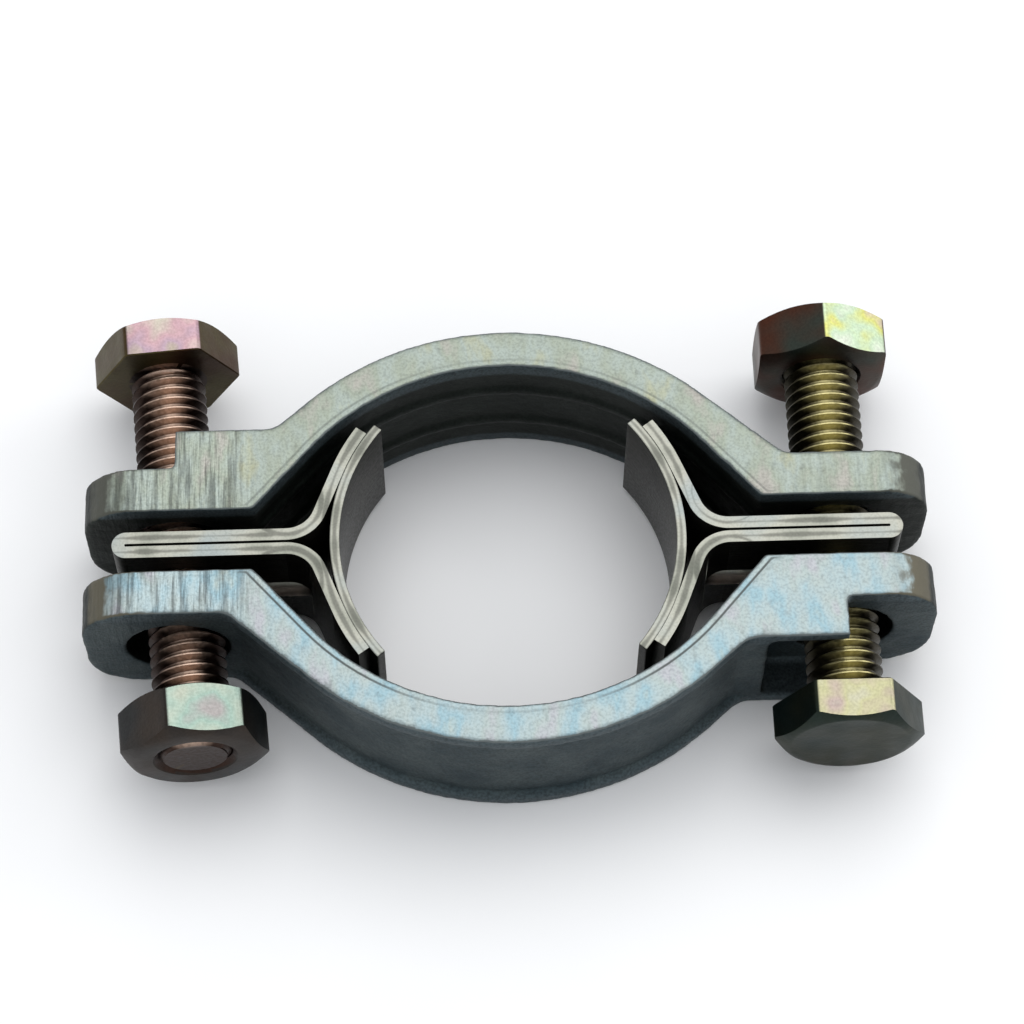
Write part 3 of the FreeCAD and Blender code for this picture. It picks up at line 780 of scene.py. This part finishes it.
def colour_thread(piece, axis, finish, thread, low, high):
    """Gives the hexagon its finish, and the faces of the thread between low and high their own."""
    piece.data.materials.append(finish)
    piece.data.materials.append(thread)
    for face in piece.data.polygons:
        from_origin = face.center - axis.origin
        height = from_origin.dot(axis.line)
        distance = (from_origin - axis.line * height).length
        if low <= height <= high and distance < UNDER_HEAD:
            face.material_index = 1


def add_bolt(node_name, side, axis):
    """A fully threaded hexagon bolt, as one closed skin from the tip to the crown of the head."""
    heights, distances, angles = axis.measure(node_name)
    hexagon = Hexagon(heights, distances, angles)
    head_is_high = hexagon.high >= heights.max() - 0.01 * MM
    if head_is_high:
        seat, crown, tip, away = hexagon.low, hexagon.high, heights.min(), 1
    else:
        seat, crown, tip, away = hexagon.high, hexagon.low, heights.max(), -1
    low, high = min(seat, tip), max(seat, tip)
    rows = thread_rows(low, high)
    tip_cap = [(0.0, tip), (BOLT_TIP_FLAT, tip)]

    def head(angle):
        outline = hexagon.radius(angle)
        return [
            (UNDER_HEAD, seat),
            (hexagon.apothem * HEX_SEAT, seat),
            (outline - HEX_EDGE_ROUND, seat),
            (outline, seat + away * HEX_EDGE_ROUND),
            *reversed(hexagon.chamfered_side(angle, crown, -away)),
            (hexagon.face_radius - HEX_FACE_ROW, crown),
            (0.0, crown),
        ]

    def profile(angle):
        thread = threaded(rows, angle, low, high, BOLT_TIP_BEVEL, outward=True)
        if head_is_high:
            return [*tip_cap, *thread, *head(angle)]
        return [*reversed(head(angle)), *thread, *reversed(tip_cap)]

    first_row = len(tip_cap) if head_is_high else len(head(0.0))
    last_row = first_row + len(rows) - 1
    piece = spun(node_name + "_solid", axis, hexagon.angles(), profile, first_row, last_row, ring=False)
    colour_thread(piece, axis, hexagon_finish(node_name), thread_finish(side), low, high)
    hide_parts(node_name)
    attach(piece, node_name)


def add_nut(node_name, side, axis):
    """A nut, chamfered at both ends, with an inside thread that the bolt's thread fits."""
    hexagon = Hexagon(*axis.measure(node_name))
    low, high = hexagon.low, hexagon.high
    rows = thread_rows(low, high)

    def profile(angle):
        thread = threaded(rows, angle, low, high, NUT_MOUTH_BEVEL, outward=False)
        return [
            *thread,
            *hexagon.chamfered_side(angle, high, -1),
            *reversed(hexagon.chamfered_side(angle, low, 1)),
        ]

    piece = spun(node_name + "_solid", axis, hexagon.angles(), profile, 0, len(rows) - 1, ring=True)
    colour_thread(piece, axis, hexagon_finish(node_name), thread_finish(side), low, high)
    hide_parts(node_name)
    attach(piece, node_name)


# ---------------------------------------------------------------- stage

CAMERA_HEADING = math.radians(2.0)
CAMERA_ELEVATION = math.radians(64.76)
CAMERA_ROLL = math.radians(0.395)
CAMERA_DISTANCE = 435 * MM
CAMERA_LENS = 116.0
SENSOR_WIDTH = 36.0
AIM_RIGHT = 0.5 * MM
AIM_UP = 7.1 * MM

# Each softbox is a (name, place, size, power) in metres and watts.
SOFTBOXES = (
    ("overhead", (0.12, 0.42, 0.95), 0.9, 4.6),
    ("right_side", (0.85, 0.30, 0.45), 0.5, 2.0),
)
SKY_TINT = (0.95, 0.97, 1.0, 1.0)
SKY_STRENGTH = 0.84
FLOOR_SIZE = 6.0
FLOOR_TINTS = ((0.3, (0.90, 0.90, 0.90)), (0.7, (0.92, 0.92, 0.92)))


def add_camera():
    """A long lens that looks down on the clamp from the front."""
    level = math.cos(CAMERA_ELEVATION)
    forward = Vector((
        math.sin(CAMERA_HEADING) * level,
        math.cos(CAMERA_HEADING) * level,
        -math.sin(CAMERA_ELEVATION),
    ))
    right = Vector((math.cos(CAMERA_HEADING), -math.sin(CAMERA_HEADING), 0))
    up = right.cross(forward)
    lens = bpy.data.cameras.new("camera")
    lens.lens = CAMERA_LENS
    lens.sensor_width = SENSOR_WIDTH
    lens.clip_start = 10 * MM
    camera = bpy.data.objects.new("camera", lens)
    camera.location = -forward * CAMERA_DISTANCE
    aim = right * AIM_RIGHT + up * AIM_UP - camera.location
    camera.rotation_mode = "QUATERNION"
    camera.rotation_quaternion = aim.to_track_quat("-Z", "Y") @ Quaternion((0, 0, 1), CAMERA_ROLL)
    bpy.context.scene.collection.objects.link(camera)
    bpy.context.scene.camera = camera


def add_softbox(name, place, size, power):
    """A square area light that faces the clamp."""
    lamp = bpy.data.lights.new(name, "AREA")
    lamp.size = size
    lamp.energy = power
    light = bpy.data.objects.new(name, lamp)
    light.location = place
    light.rotation_euler = (-Vector(place)).to_track_quat("-Z", "Y").to_euler()
    bpy.context.scene.collection.objects.link(light)


def add_floor(level):
    """A pale, matt, plain floor."""
    bpy.ops.mesh.primitive_plane_add(size=FLOOR_SIZE, location=(0, 0, level))
    floor = bpy.context.object
    floor.name = "floor"
    paper = Finish("paper", metallic=0.0)
    tone = paper.ramp(paper.cloud(40 * MM), FLOOR_TINTS)
    floor.data.materials.append(paper.finish(tone, 0.9))


def add_stage():
    add_floor(cad_box[0].z)
    for softbox in SOFTBOXES:
        add_softbox(*softbox)
    world = bpy.data.worlds.new("studio")
    world.use_nodes = True
    background = world.node_tree.nodes["Background"]
    background.inputs["Color"].default_value = SKY_TINT
    background.inputs["Strength"].default_value = SKY_STRENGTH
    bpy.context.scene.world = world
    bpy.context.scene.view_settings.view_transform = "Standard"
    add_camera()


# ---------------------------------------------------------------- the clamp

left_axis = Axis(joints["left_bolt_turn"])
right_axis = Axis(joints["right_nut_turn"])
sheet = sheet_finish()

add_casting("front_half")
add_casting("back_half")
finish_saddle("left", sheet)
finish_saddle("right", sheet)
add_bolt("left_bolt", "left", left_axis)
add_bolt("right_bolt", "right", right_axis)
add_nut("left_nut", "left", left_axis)
add_nut("right_nut", "right", right_axis)
add_stage()
